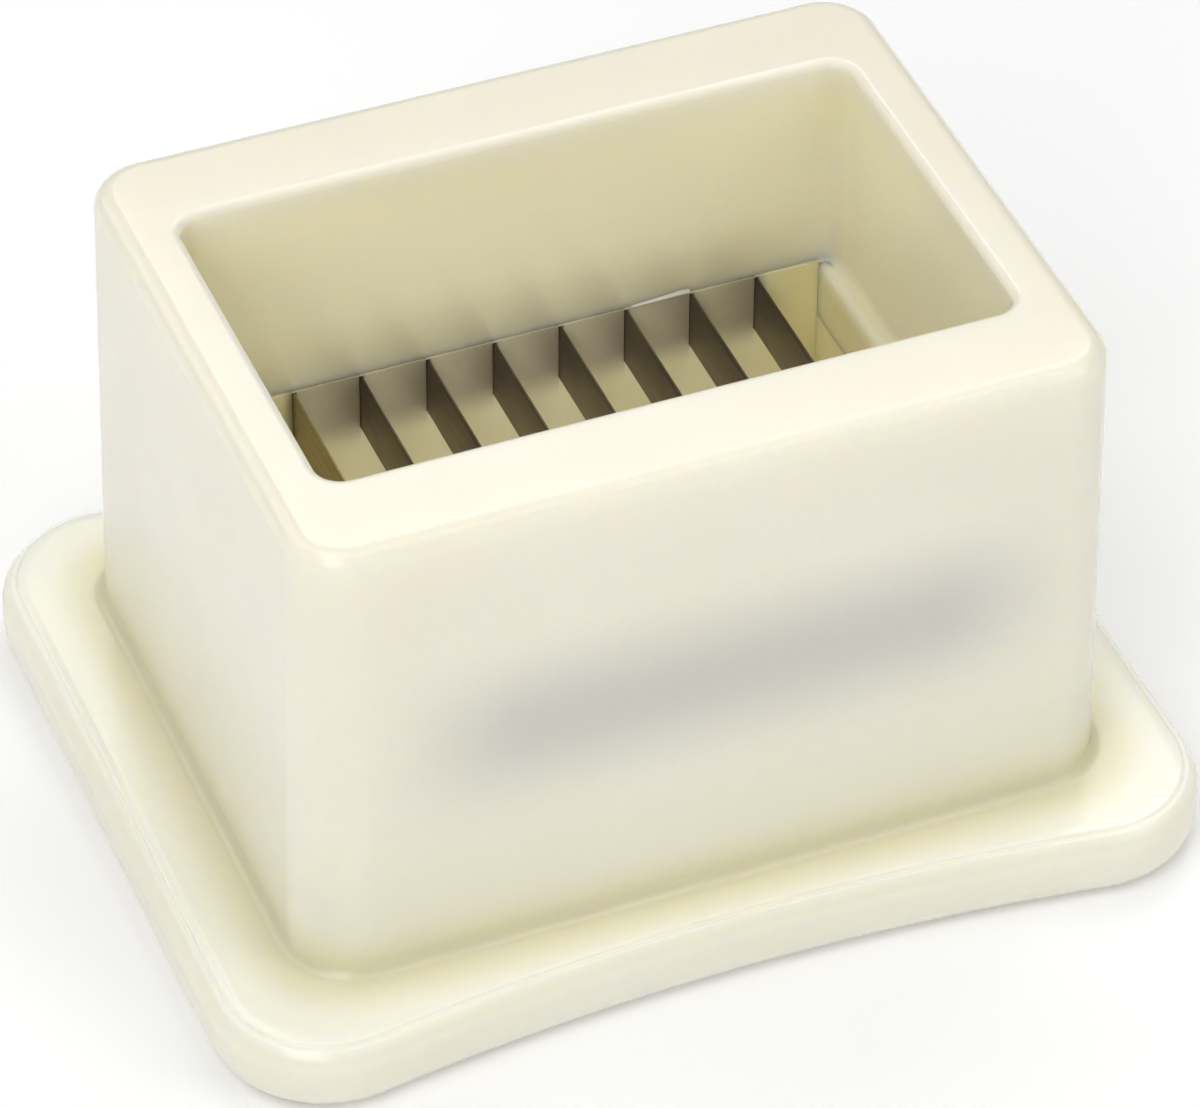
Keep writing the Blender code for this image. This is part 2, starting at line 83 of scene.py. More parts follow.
CHUTE_LENGTH = 85.6 * MM
CHUTE_WIDTH = 51.0 * MM
CHUTE_CORNER = 3.2 * MM
CHUTE_DRAFT = math.tan(math.radians(0.5))
LIP_ROUNDING = 1.1 * MM
LEDGE_FILLET = 1.2 * MM
LEDGE_ROUNDING = 1.1 * MM

BLADE_TOP = blade_boxes[0][1].z
FIT = 0.3 * MM
CONTACT = 0.02 * MM
OUTLET_CORNER = 0.12 * MM
LEDGE_TOP = BLADE_TOP + FIT
OUTLET_HALF_LENGTH = bar_low.x
OUTLET_HALF_WIDTH = comb_low.y
SHELF_BOTTOM = bar_high.z + FIT
POCKET_HALF_LENGTH = comb_high.x + FIT
POCKET_HALF_WIDTH = comb_high.y + FIT
POCKET_FLOOR = comb_low.z
POCKET_CORNER = 3.0 * MM
FRAME_SPACE_HALF_LENGTH = frame_high.x + FIT
FRAME_SPACE_HALF_WIDTH = frame_high.y + FIT
FRAME_SPACE_CORNER = 6.0 * MM
FRAME_CORNER = 5.7 * MM
SCREW_HOLE_RADIUS = 1.8 * MM
print("blade tops at", round(BLADE_TOP / MM, 1), "mm; outlet", round(2 * OUTLET_HALF_LENGTH / MM, 1),
      "by", round(2 * OUTLET_HALF_WIDTH / MM, 1), "mm")

# %% [markdown]
# ## Small mesh helpers
# Most pieces here are lofts: a stack of outlines with the same number of points, joined ring to
# ring and closed at both ends. One helper makes them. A second one applies every modifier and
# leaves a plain mesh, and a third gives a piece its finish and its place in the frame.

# %% Helpers for lofts, blocks and finished pieces
def arc(centre, radius, start, end, steps):
    """Points along an arc, in radians, both ends included."""
    turns = [start + (end - start) * step / steps for step in range(steps + 1)]
    return [(centre[0] + radius * math.cos(t), centre[1] + radius * math.sin(t)) for t in turns]


def between(start, end, count):
    """Evenly spaced points strictly between two points."""
    shares = [(i + 1) / (count + 1) for i in range(count)]
    return [(start[0] + (end[0] - start[0]) * s, start[1] + (end[1] - start[1]) * s) for s in shares]


def mesh_object(name, work):
    """Turn a bmesh into an object at the origin, with its faces pointing outwards."""
    bmesh.ops.remove_doubles(work, verts=work.verts, dist=1e-7)
    bmesh.ops.recalc_face_normals(work, faces=work.faces)
    mesh = bpy.data.meshes.new(name)
    work.to_mesh(mesh)
    work.free()
    piece = bpy.data.objects.new(name, mesh)
    bpy.context.scene.collection.objects.link(piece)
    return piece


def loft(name, rings):
    """A closed solid through rings of (height, outline), every outline with as many points."""
    work = bmesh.new()
    loops = [[work.verts.new((x, y, z)) for x, y in outline] for z, outline in rings]
    count = len(loops[0])
    for lower, upper in zip(loops, loops[1:]):
        for i in range(count):
            j = (i + 1) % count
            work.faces.new((lower[i], lower[j], upper[j], upper[i]))
    work.faces.new(loops[0])
    work.faces.new(loops[-1])
    return mesh_object(name, work)


def block(name, low, high):
    """A box between two corners."""
    low, high = Vector(low), Vector(high)
    work = bmesh.new()
    bmesh.ops.create_cube(work, size=1.0)
    bmesh.ops.scale(work, vec=high - low, verts=work.verts)
    bmesh.ops.translate(work, vec=(low + high) / 2, verts=work.verts)
    return mesh_object(name, work)


def rod(name, radius, start, end, sides=48):
    """A round bar between two points."""
    start, end = Vector(start), Vector(end)
    work = bmesh.new()
    bmesh.ops.create_cone(work, cap_ends=True, segments=sides, radius1=radius, radius2=radius,
                          depth=(end - start).length)
    turn = Vector((0, 0, 1)).rotation_difference(end - start).to_matrix()
    bmesh.ops.rotate(work, cent=(0, 0, 0), matrix=turn, verts=work.verts)
    bmesh.ops.translate(work, vec=(start + end) / 2, verts=work.verts)
    return mesh_object(name, work)


def cut(piece, cutter):
    """Take a cutter out of a piece, then throw the cutter away."""
    modifier = piece.modifiers.new("Cut", "BOOLEAN")
    modifier.operation = "DIFFERENCE"
    modifier.solver = "EXACT"
    modifier.object = cutter
    bake_modifiers(piece)
    bpy.data.objects.remove(cutter)


def bake_modifiers(piece):
    """Replace a piece's mesh with what its modifiers make of it."""
    graph = bpy.context.evaluated_depsgraph_get()
    made = bpy.data.meshes.new_from_object(piece.evaluated_get(graph))
    made.name = piece.name
    piece.modifiers.clear()
    piece.data = made


def join(piece, *others):
    """Add other objects' meshes to a piece, and remove them."""
    work = bmesh.new()
    for item in (piece, *others):
        work.from_mesh(item.data)
    work.to_mesh(piece.data)
    work.free()
    for item in others:
        bpy.data.objects.remove(item)


def round_edges(piece, width, segments=3, angle=30):
    """A small bevel on every edge sharper than the angle."""
    bevel = piece.modifiers.new("Edge rounding", "BEVEL")
    bevel.width = width
    bevel.segments = segments
    bevel.limit_method = "ANGLE"
    bevel.angle_limit = math.radians(angle)
    bake_modifiers(piece)


def finish_piece(piece, material, slot, *nodes, angle=38):
    """Smooth shading, one material, and the CAD nodes that the piece stands for."""
    piece.data.shade_smooth()
    piece.data.set_sharp_from_angle(angle=math.radians(angle))
    weighted = piece.modifiers.new("Even normals", "WEIGHTED_NORMAL")
    weighted.keep_sharp = True
    piece.data.materials.clear()
    piece.data.materials.append(material)
    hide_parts(*nodes)
    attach(piece, "root")
    print(piece.name, "has", len(piece.data.polygons), "faces")
    return piece

# %% [markdown]
# ## Ivory plastic
# The housing is moulded in a thick, slightly see-through ivory plastic. Light goes a few millimetres
# in and comes out again, which is why its corners and hollows glow warm instead of turning grey, so
# the shader gets a subsurface share with a warm radius. Two quiet details keep it from looking like
# paint: a slow drift of tone and a fine mould texture in the bump. Light and shade are painted into
# its colour as well: a painted shadow where the blade pack shows through the long walls as a soft
# grey patch, painted warm light in the well and below the end ledges, painted shade in the hollow at
# the foot and on the rim's flat top, and painted light on the flange's top.

# %% Material helpers
def new_material(name):
    """An empty node material: returns it, its nodes, a linker and its shader."""
    material = bpy.data.materials.new(name)
    material.use_nodes = True
    tree = material.node_tree
    return material, tree, tree.nodes["Principled BSDF"]


def add_node(tree, kind, links=None, **settings):
    """Add a node, set its properties or sockets by name, and link the sockets that are given."""
    node = tree.nodes.new(kind)
    for key, value in settings.items():
        if hasattr(node, key):
            setattr(node, key, value)
        else:
            node.inputs[key.replace("_", " ")].default_value = value
    for socket, source in (links or {}).items():
        tree.links.new(source, node.inputs[socket])
    return node


def noise(tree, place, scale, detail=3.0):
    """A noise value, 0 to 1, with features about 1 / scale metres wide."""
    texture = add_node(tree, "ShaderNodeTexNoise", {"Vector": place})
    texture.inputs["Scale"].default_value = scale
    texture.inputs["Detail"].default_value = detail
    return texture.outputs["Fac"]


def remap(tree, value, from_low, from_high, to_low, to_high, smooth=True):
    """Map one range of values to another, clamped, with soft ends if smooth."""
    node = add_node(tree, "ShaderNodeMapRange", {"Value": value})
    node.interpolation_type = "SMOOTHSTEP" if smooth else "LINEAR"
    node.inputs["From Min"].default_value = from_low
    node.inputs["From Max"].default_value = from_high
    node.inputs["To Min"].default_value = to_low
    node.inputs["To Max"].default_value = to_high
    return node.outputs["Result"]


def maths(tree, operation, *values):
    """A Math node: each value is a number or another node's output."""
    node = add_node(tree, "ShaderNodeMath")
    node.operation = operation
    for socket, value in zip(node.inputs, values):
        if isinstance(value, (int, float)):
            socket.default_value = value
        else:
            tree.links.new(value, socket)
    return node.outputs["Value"]


def vector_maths(tree, operation, *values):
    """A Vector Math node: each value is a tuple of three or another node's output."""
    node = add_node(tree, "ShaderNodeVectorMath", operation=operation)
    for socket, value in zip(node.inputs, values):
        if isinstance(value, tuple):
            socket.default_value = value
        else:
            tree.links.new(value, socket)
    return node.outputs["Vector"]


def tint(tree, share, base, colour):
    """Mix two colours (or another output and a colour) by a share of 0 to 1."""
    node = add_node(tree, "ShaderNodeMix")
    node.data_type = "RGBA"
    for socket, value in ((node.inputs[0], share), (node.inputs[6], base), (node.inputs[7], colour)):
        if isinstance(value, tuple):
            socket.default_value = (*value, 1.0)
        elif isinstance(value, (int, float)):
            socket.default_value = value
        else:
            tree.links.new(value, socket)
    return node.outputs[2]


def bump(tree, height, strength, distance):
    """A bump normal from a height value."""
    node = add_node(tree, "ShaderNodeBump", {"Height": height})
    node.inputs["Strength"].default_value = strength
    node.inputs["Distance"].default_value = distance
    return node.outputs["Normal"]


# %% The housing's ivory plastic
IVORY = (0.870, 0.845, 0.735)
IVORY_WARM = (0.845, 0.805, 0.660)
IVORY_WELL = (0.935, 0.895, 0.680)
IVORY_FOOT_PAINTED_SHADE = (0.805, 0.765, 0.525)
IVORY_RIM_PAINTED_SHADE = (0.815, 0.775, 0.655)
IVORY_PLATE = (0.975, 0.960, 0.890)
IVORY_PAINTED_GLOW = (0.850, 0.765, 0.430)
BLADE_SHADOW = (0.620, 0.615, 0.565)
WELL_SHADOW = (0.540, 0.485, 0.300)


def beyond(tree, place, half_length, half_width, corner):
    """How far a point lies outside an upright block with round corners; 0.0 inside it."""
    inner = (half_length - corner, half_width - corner, 1.0)
    size = vector_maths(tree, "ABSOLUTE", place)
    past = vector_maths(tree, "MAXIMUM", vector_maths(tree, "SUBTRACT", size, inner),
                        (0.0, 0.0, 0.0))
    length = add_node(tree, "ShaderNodeVectorMath", {"Vector": past}, operation="LENGTH")
    return maths(tree, "MAXIMUM", maths(tree, "SUBTRACT", length.outputs["Value"], corner), 0.0)


def make_ivory(name):
    material, tree, shader = new_material(name)
    place = add_node(tree, "ShaderNodeTexCoord").outputs["Object"]
    axes = add_node(tree, "ShaderNodeSeparateXYZ", {"Vector": place})
    x, y, z = axes.outputs

    drift = remap(tree, noise(tree, place, 38.0), 0.35, 0.65, 0.0, 0.35)
    colour = tint(tree, drift, IVORY, IVORY_WARM)

    # Painted light: the well is tinted lighter and warmer, for light that has bounced about in it.
    beside = remap(tree, maths(tree, "ABSOLUTE", x), 42.9 * MM, 44.3 * MM, 1.0, 0.0)
    within = remap(tree, maths(tree, "ABSOLUTE", y), 25.6 * MM, 27.0 * MM, 1.0, 0.0)
    deep = remap(tree, z, HEIGHT - 7 * MM, HEIGHT - 0.5 * MM, 1.0, 0.0)
    well = maths(tree, "MULTIPLY", maths(tree, "MULTIPLY", beside, within), deep)
    colour = tint(tree, well, colour, IVORY_WELL)
    # Painted light: below the end ledges the throat is tinted with a warm painted glow.
    painted_glow = remap(tree, z, LEDGE_TOP - 3 * MM, LEDGE_TOP - 1 * MM, 1.0, 0.0)
    painted_glow = maths(tree, "MULTIPLY", maths(tree, "MULTIPLY", beside, within), painted_glow)
    colour = tint(tree, painted_glow, colour, IVORY_PAINTED_GLOW)
    # Painted shade: the hollow at the foot is darkened and warmed, most close to the wall and fading
    # out across the flange.
    outward = beyond(tree, place, BODY_LENGTH / 2 + HEIGHT * BODY_DRAFT,
                     BODY_WIDTH / 2 + HEIGHT * BODY_DRAFT, BODY_CORNER)
    upward = maths(tree, "MAXIMUM", maths(tree, "SUBTRACT", z, FLANGE_THICKNESS), 0.0)
    away = maths(tree, "ADD", outward, upward)
    slow = remap(tree, away, 0.0, 26 * MM, 0.35, 0.0)
    tight = remap(tree, away, 0.5 * MM, 7 * MM, 0.60, 0.0)
    above = remap(tree, z, FLANGE_THICKNESS - 3 * MM, FLANGE_THICKNESS - 0.5 * MM, 0.0, 1.0)
    foot = maths(tree, "MULTIPLY", above, maths(tree, "ADD", slow, tight))
    # Painted shade: the rim's flat top is a little darker than the walls, to hold down the light
    # that falls on it from above.
    rim = remap(tree, z, HEIGHT - 1.2 * MM, HEIGHT - 0.1 * MM, 0.0, 1.0)
    colour = tint(tree, rim, colour, IVORY_RIM_PAINTED_SHADE)

    # The flange's top lies close to the bright table and shows lighter than the walls.
    low = remap(tree, z, FLANGE_THICKNESS + 0.1 * MM, FLANGE_THICKNESS + 0.8 * MM, 1.0, 0.0)
    shallow = remap(tree, z, FLANGE_THICKNESS - 2 * MM, FLANGE_THICKNESS - 0.2 * MM, 0.0, 1.0)
    colour = tint(tree, maths(tree, "MULTIPLY", shallow, low), colour, IVORY_PLATE)
    colour = tint(tree, foot, colour, IVORY_FOOT_PAINTED_SHADE)

    # Painted shadow: the blade pack shows through the two long walls as a soft grey patch, level
    # with it.
    off_middle = maths(tree, "ABSOLUTE", maths(tree, "SUBTRACT", x, 2 * MM))
    across = remap(tree, off_middle, 24 * MM, 46 * MM, 1.0, 0.0)
    off_level = maths(tree, "ABSOLUTE", maths(tree, "SUBTRACT", z, 41.5 * MM))
    upright = remap(tree, off_level, 0.0, 15 * MM, 1.0, 0.0)
    outside = remap(tree, maths(tree, "ABSOLUTE", y), 36 * MM, 38.5 * MM, 0.0, 1.0)
    patch = maths(tree, "MULTIPLY", maths(tree, "MULTIPLY", across, upright), outside)
    colour = tint(tree, maths(tree, "MULTIPLY", patch, 0.9), colour, BLADE_SHADOW)

    # Inside the well the same shadow darkens the foot of the two long walls.
    near = remap(tree, z, BLADE_TOP, BLADE_TOP + 11 * MM, 1.0, 0.0)
    ends = remap(tree, x, -38 * MM, -10 * MM, 0.35, 1.0)
    ends = maths(tree, "MULTIPLY", ends, remap(tree, x, 28 * MM, 40 * MM, 1.0, 0.3))
    ends = maths(tree, "MULTIPLY", ends, beside)
    inside = maths(tree, "MULTIPLY", maths(tree, "MULTIPLY", near, ends), within)
    colour = tint(tree, maths(tree, "MULTIPLY", inside, 0.6), colour, WELL_SHADOW)
    tree.links.new(colour, shader.inputs["Base Color"])

    fine = noise(tree, place, 1400.0, 2.0)
    broad = noise(tree, place, 120.0, 2.0)
    grain = maths(tree, "ADD", maths(tree, "MULTIPLY", fine, 0.25), broad)
    tree.links.new(bump(tree, grain, 0.12, 0.15 * MM), shader.inputs["Normal"])
    tree.links.new(remap(tree, noise(tree, place, 90.0), 0.3, 0.7, 0.15, 0.21),
                   shader.inputs["Roughness"])
    shader.inputs["Subsurface Weight"].default_value = 0.75
    shader.inputs["Subsurface Radius"].default_value = (1.0, 0.85, 0.5)
    shader.inputs["Subsurface Scale"].default_value = 7 * MM
    shader.inputs["IOR"].default_value = 1.49
    return material


ivory = make_ivory("ivory plastic, satin")

# %% [markdown]
# ## The housing
# On the real object this is one injection moulding: a drafted block with a chute down its middle,
# standing on a flange. It could be a box with bevels, but the foot fillet, the draft and the
# waisted flange all change the outline with height. So it is one loft, from the underside, out over
# the flange, up the wall, over the rim and down the chute. The pocket underneath is then cut out.
# A fine groove between two raised lines runs round the flange's rounding, where the mould parts.

# %% Outlines of the flange, the body and the chute
CORNER_POINTS = 14
SIDE_POINTS = 24
END_POINTS = 14


def flange_ring(inset):
    """The flange's outline, moved in by inset: round corners, straight ends, sides drawn in."""
    corner_x = FLANGE_HALF_LENGTH - FLANGE_CORNER
    corner_y = FLANGE_HALF_WIDTH - FLANGE_CORNER
    waist = FLANGE_HALF_WIDTH - FLANGE_WAIST
    reach = FLANGE_CORNER - waist
    centre = (corner_y ** 2 + corner_x ** 2 - reach ** 2) / (2 * (corner_y + reach))
    lean = math.atan2(corner_x, centre - corner_y)
    quarter = math.pi / 2
    radius = FLANGE_CORNER - inset
    right = arc((corner_x, corner_y), radius, 0, quarter + lean, CORNER_POINTS)
    side = arc((0, centre), centre - waist + inset, lean - quarter, -lean - quarter,
               SIDE_POINTS + 1)[1:-1]
    left = arc((-corner_x, corner_y), radius, quarter - lean, 2 * quarter, CORNER_POINTS)
    end = between(left[-1], (left[-1][0], -left[-1][1]), END_POINTS)
    half = right + side + left + end
    return half + [(-px, -py) for px, py in half]


def block_ring(half_length, half_width, corner):
    """A rectangle with round corners, its points spaced like the flange's."""
    corner_x, corner_y = half_length - corner, half_width - corner
    quarter = math.pi / 2
    right = arc((corner_x, corner_y), corner, 0, quarter, CORNER_POINTS)
    left = arc((-corner_x, corner_y), corner, quarter, 2 * quarter, CORNER_POINTS)
    side = between(right[-1], left[0], SIDE_POINTS)
    end = between(left[-1], (left[-1][0], -left[-1][1]), END_POINTS)
    half = right + side + left + end
    return half + [(-px, -py) for px, py in half]


def body_ring(level, spread=0.0):
    """The body's outline at a height, on the drafted wall or moved out from it by spread."""
    grow = (HEIGHT - level) * BODY_DRAFT + spread
    return level, block_ring(BODY_LENGTH / 2 + grow, BODY_WIDTH / 2 + grow, BODY_CORNER + grow)


def chute_ring(level, spread=0.0, ledge=0.0):
    """The chute's outline at a height. Ledge moves only its two ends in."""
    grow = (level - HEIGHT) * CHUTE_DRAFT + spread
    return level, block_ring(CHUTE_LENGTH / 2 + grow - ledge, CHUTE_WIDTH / 2 + grow,
                             CHUTE_CORNER + grow)


# %% Loft the housing
ROUNDING_STEPS = 10
QUARTER_ANGLES = [math.pi / 2 * step / ROUNDING_STEPS for step in range(ROUNDING_STEPS + 1)]


def quarter_turn():
    """(sine, cosine) pairs for the steps of a quarter circle."""
    return [(math.sin(a), math.cos(a)) for a in QUARTER_ANGLES]


PARTING_TURN = math.radians(60)
PARTING_WIDTH = 0.75 * MM
PARTING_DEPTH = 0.13 * MM
PARTING_CLEAR = math.radians(19)
PARTING_SHAPE = ((-1.5, 0.0), (-1.2, 0.15), (-0.9, 0.6), (-0.7, 0.7), (-0.5, 0.5), (-0.25, -0.6),
                 (-0.12, -1.0), (0.12, -1.0), (0.25, -0.6), (0.5, 0.5), (0.7, 0.7), (0.9, 0.6),
                 (1.2, 0.15), (1.5, 0.0))


def flange_top_rings():
    """The flange's upper rounding, with the fine groove where the two halves of the mould meet."""
    rings = [(turn, 0.0) for turn in QUARTER_ANGLES if abs(turn - PARTING_TURN) > PARTING_CLEAR]
    for share, out in PARTING_SHAPE:
        rings.append((PARTING_TURN + share * PARTING_WIDTH / FLANGE_ROUNDING, out))
    rounding = []
    for turn, out in sorted(rings):
        radius = FLANGE_ROUNDING + out * PARTING_DEPTH
        rounding.append((FLANGE_THICKNESS - FLANGE_ROUNDING + radius * math.sin(turn),
                         flange_ring(FLANGE_ROUNDING - radius * math.cos(turn))))
    return rounding


def housing_rings():
    rings = []
    for sine, cosine in quarter_turn():
        rings.append((FLANGE_ROUNDING * (1 - cosine), flange_ring(FLANGE_ROUNDING * (1 - sine))))
    rings += flange_top_rings()
    for sine, cosine in quarter_turn():
        rings.append(body_ring(FLANGE_THICKNESS + FOOT_FILLET * (1 - cosine),
                               FOOT_FILLET * (1 - sine)))
    rings.append(body_ring((FLANGE_THICKNESS + HEIGHT) / 2))
    for sine, cosine in quarter_turn():
        rings.append(body_ring(HEIGHT - RIM_ROUNDING * (1 - sine), -RIM_ROUNDING * (1 - cosine)))
    for sine, cosine in reversed(quarter_turn()):
        rings.append(chute_ring(HEIGHT - LIP_ROUNDING * (1 - sine), LIP_ROUNDING * (1 - cosine)))
    for sine, cosine in quarter_turn():
        rings.append(chute_ring(LEDGE_TOP + LEDGE_FILLET * (1 - sine), 0.0,
                                LEDGE_FILLET * (1 - cosine)))
    return rings


def make_housing():
    housing = loft("ivory_housing", housing_rings())
    pocket = block_ring(POCKET_HALF_LENGTH, POCKET_HALF_WIDTH, POCKET_CORNER)
    cut(housing, loft("pocket", [(-1 * MM, pocket), (SHELF_BOTTOM, pocket)]))
    cut(housing, throat_cutter())
    for side in (-1, 1):
        ys = sorted((side * (OUTLET_HALF_WIDTH - CONTACT), side * POCKET_HALF_WIDTH))
        cut(housing, block("comb space", (-POCKET_HALF_LENGTH, ys[0], SHELF_BOTTOM - 1 * MM),
                           (POCKET_HALF_LENGTH, ys[1], LEDGE_TOP)))
    space = block_ring(FRAME_SPACE_HALF_LENGTH, FRAME_SPACE_HALF_WIDTH, FRAME_SPACE_CORNER)
    cut(housing, loft("frame space", [(-1 * MM, space), (POCKET_FLOOR, space)]))
    for number in range(1, 5):
        low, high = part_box(f"retaining_screw_{number}")
        x, y = (low.x + high.x) / 2, (low.y + high.y) / 2
        cut(housing, rod("screw hole", SCREW_HOLE_RADIUS, (x, y, POCKET_FLOOR - 1 * MM),
                         (x, y, high.z + FIT)))
    return housing


def throat_cutter():
    """The opening between the end ledges: round in its corners, and flared to round the edges."""
    rings = []
    for level, flare in [(SHELF_BOTTOM - 1 * MM, 0.0)] + [
            (LEDGE_TOP - LEDGE_ROUNDING * (1 - s), LEDGE_ROUNDING * (1 - c))
            for s, c in quarter_turn()]:
        rings.append((level, block_ring(OUTLET_HALF_LENGTH + flare, OUTLET_HALF_WIDTH,
                                        OUTLET_CORNER)))
    return loft("throat", rings)


finish_piece(make_housing(), ivory, "ivory_housing_plastic", "housing", angle=30)

# %% [markdown]
# ## A toolbox for Geometry Nodes
# The blades, the screws and the threads repeat, or follow a path. Geometry Nodes describe such
# things by their rule. A small helper builds each tree with named inputs, sets those inputs by their
# identifiers before anything is evaluated, and gives back the result as a plain mesh.

# %% Helpers for node trees
class NodeTree:
    """A Geometry Nodes tree with named inputs, run once to make a mesh."""

    def __init__(self, name, **inputs):
        self.tree = bpy.data.node_groups.new(name, "GeometryNodeTree")
        self.values = inputs
        self.identifiers = {}
        self.tree.interface.new_socket("Geometry", in_out="OUTPUT",
                                       socket_type="NodeSocketGeometry")
        kinds = {int: "NodeSocketInt", float: "NodeSocketFloat"}
        for label, value in inputs.items():
            kind = kinds.get(type(value), "NodeSocketMaterial")
            socket = self.tree.interface.new_socket(label, in_out="INPUT", socket_type=kind)
            self.identifiers[label] = socket.identifier
        self.entry = self.tree.nodes.new("NodeGroupInput")
        self.exit = self.tree.nodes.new("NodeGroupOutput")

    def value(self, label):
        return self.entry.outputs[label]

    def add(self, kind, settings=None, **sockets):
        """Add a node. Sockets are given by name, as a number, a vector or another output."""
        node = self.tree.nodes.new(kind)
        for key, setting in (settings or {}).items():
            setattr(node, key, setting)
        for key, value in sockets.items():
            socket = self.find(node, key)
            if isinstance(value, bpy.types.NodeSocket):
                self.tree.links.new(value, socket)
            else:
                socket.default_value = value
        return node

    def find(self, node, key):
        if key.startswith("at_"):
            return node.inputs[int(key[3:])]
        return node.inputs[key.replace("_", " ")]

    def math(self, operation, *values):
        sockets = {f"at_{i}": value for i, value in enumerate(values)}
        return self.add("ShaderNodeMath", {"operation": operation}, **sockets).outputs[0]

    def vector(self, x=0.0, y=0.0, z=0.0):
        return self.add("ShaderNodeCombineXYZ", at_0=x, at_1=y, at_2=z).outputs[0]

    def mesh(self, name, geometry, material_label):
        """Realize, set the material, evaluate once, and keep the plain mesh."""
        real = self.add("GeometryNodeRealizeInstances", at_0=geometry).outputs[0]
        final = self.add("GeometryNodeSetMaterial", at_0=real,
                         Material=self.value(material_label)).outputs[0]
        self.tree.links.new(final, self.exit.inputs[0])
        carrier = bpy.data.objects.new(name, bpy.data.meshes.new(name))
        bpy.context.scene.collection.objects.link(carrier)
        modifier = carrier.modifiers.new(name, "NODES")
        modifier.node_group = self.tree
        for label, value in self.values.items():
            modifier[self.identifiers[label]] = value
        bake_modifiers(carrier)
        return carrier


# %% [markdown]
# ## Blade steel
# The blades are thin stainless strip, rolled and then ground, and they stand in a deep, cream-lined
# well. A smooth metal strip there mirrors its dim neighbours, so the steel's colour is painted dark,
# as painted shade. Streaks run along their length from grinding, painted light from below makes them
# browner and lighter lower down, and the first blade carries a painted reflection of the lit left
# wall.

# %% The steel of the blades
# The steel's colours are painted dark, as painted shade for the dim well that the blades mirror.
STEEL_DARK = (0.128, 0.108, 0.080)
STEEL_LIGHT = (0.240, 0.205, 0.142)
STEEL_PAINTED_REFLECTION = (0.380, 0.320, 0.200)


def make_blade_steel(name):
    material, tree, shader = new_material(name)
    place = add_node(tree, "ShaderNodeTexCoord").outputs["Object"]
    stretch = add_node(tree, "ShaderNodeMapping", {"Vector": place})
    stretch.inputs["Scale"].default_value = (1.0, 0.04, 1.0)
    streaks = noise(tree, stretch.outputs["Vector"], 2600.0, 4.0)
    cloud = noise(tree, place, 110.0, 2.0)
    axes = add_node(tree, "ShaderNodeSeparateXYZ", {"Vector": place})
    # Painted light from below: the lower part of each blade turns lighter and browner.
    low = remap(tree, axes.outputs["Z"], BLADE_TOP - 8 * MM, BLADE_TOP - 1 * MM, 0.6, 0.0)
    share = maths(tree, "ADD", low, remap(tree, cloud, 0.35, 0.65, 0.0, 0.3))
    share = maths(tree, "ADD", share, remap(tree, streaks, 0.3, 0.7, -0.15, 0.15))
    colour = tint(tree, share, STEEL_DARK, STEEL_LIGHT)
    # Painted reflection: the whole first blade is lighter and tan, for the lit left wall that it
    # mirrors.
    first = blade_boxes[0][1].x
    tree.links.new(tint(tree, remap(tree, axes.outputs["X"], first, first + 2 * MM, 0.85, 0.0),
                        colour, STEEL_PAINTED_REFLECTION), shader.inputs["Base Color"])
    tree.links.new(remap(tree, streaks, 0.3, 0.7, 0.38, 0.55), shader.inputs["Roughness"])
    tree.links.new(bump(tree, streaks, 0.25, 0.02 * MM), shader.inputs["Normal"])
    shader.inputs["Metallic"].default_value = 0.85
    return material


blade_steel = make_blade_steel("ground blade steel")

# %% [markdown]
# ## The blades
# Eight equal strips stand on edge at an even pitch, each ground to a narrow cutting edge on top. One
# strip and a row of points give all eight: a thin box with a middle loop, whose middle loop is moved
# up to where the grinding starts and whose top is pinched in.

# %% Eight blades from one strip and a row of points
def make_blades():
    low, high = blade_boxes[0]
    size = high - low
    count = len(blade_boxes)
    pitch = (blade_boxes[-1][0].x - low.x) / (count - 1)
    nodes = NodeTree("Blade pack", Count=count, Pitch=pitch, Thickness=size.x, Length=size.y,
                     Height=size.z, Edge_height=0.6 * MM, Edge_share=0.4, Steel=blade_steel)
    strip = nodes.add("GeometryNodeMeshCube", Size=nodes.vector(
        nodes.value("Thickness"), nodes.value("Length"), nodes.value("Height")),
        Vertices_X=2, Vertices_Y=24, Vertices_Z=3).outputs["Mesh"]
    place = nodes.add("GeometryNodeInputPosition").outputs[0]
    axes = nodes.add("ShaderNodeSeparateXYZ", at_0=place).outputs
    half = nodes.math("MULTIPLY", nodes.value("Height"), 0.5)
    middle = nodes.math("COMPARE", axes[2], 0.0, 0.1 * MM)
    lifted = nodes.math("MULTIPLY", middle, nodes.math("SUBTRACT", half,
                                                       nodes.value("Edge_height")))
    top = nodes.math("COMPARE", axes[2], half, 0.1 * MM)
    pinch = nodes.math("SUBTRACT", 1.0, nodes.math("MULTIPLY", top, nodes.math(
        "SUBTRACT", 1.0, nodes.value("Edge_share"))))
    shaped = nodes.add("GeometryNodeSetPosition", at_0=strip, Position=nodes.vector(
        nodes.math("MULTIPLY", axes[0], pinch), axes[1],
        nodes.math("ADD", axes[2], lifted))).outputs[0]
    row = nodes.add("GeometryNodeMeshLine", {"mode": "OFFSET"}, Count=nodes.value("Count"),
                    Start_Location=((low.x + high.x) / 2, 0.0, (low.z + high.z) / 2),
                    Offset=nodes.vector(nodes.value("Pitch"))).outputs["Mesh"]
    pack = nodes.add("GeometryNodeInstanceOnPoints", Points=row, Instance=shaped).outputs[0]
    split_blades(nodes.mesh("blade pack", pack, "Steel"), pitch)


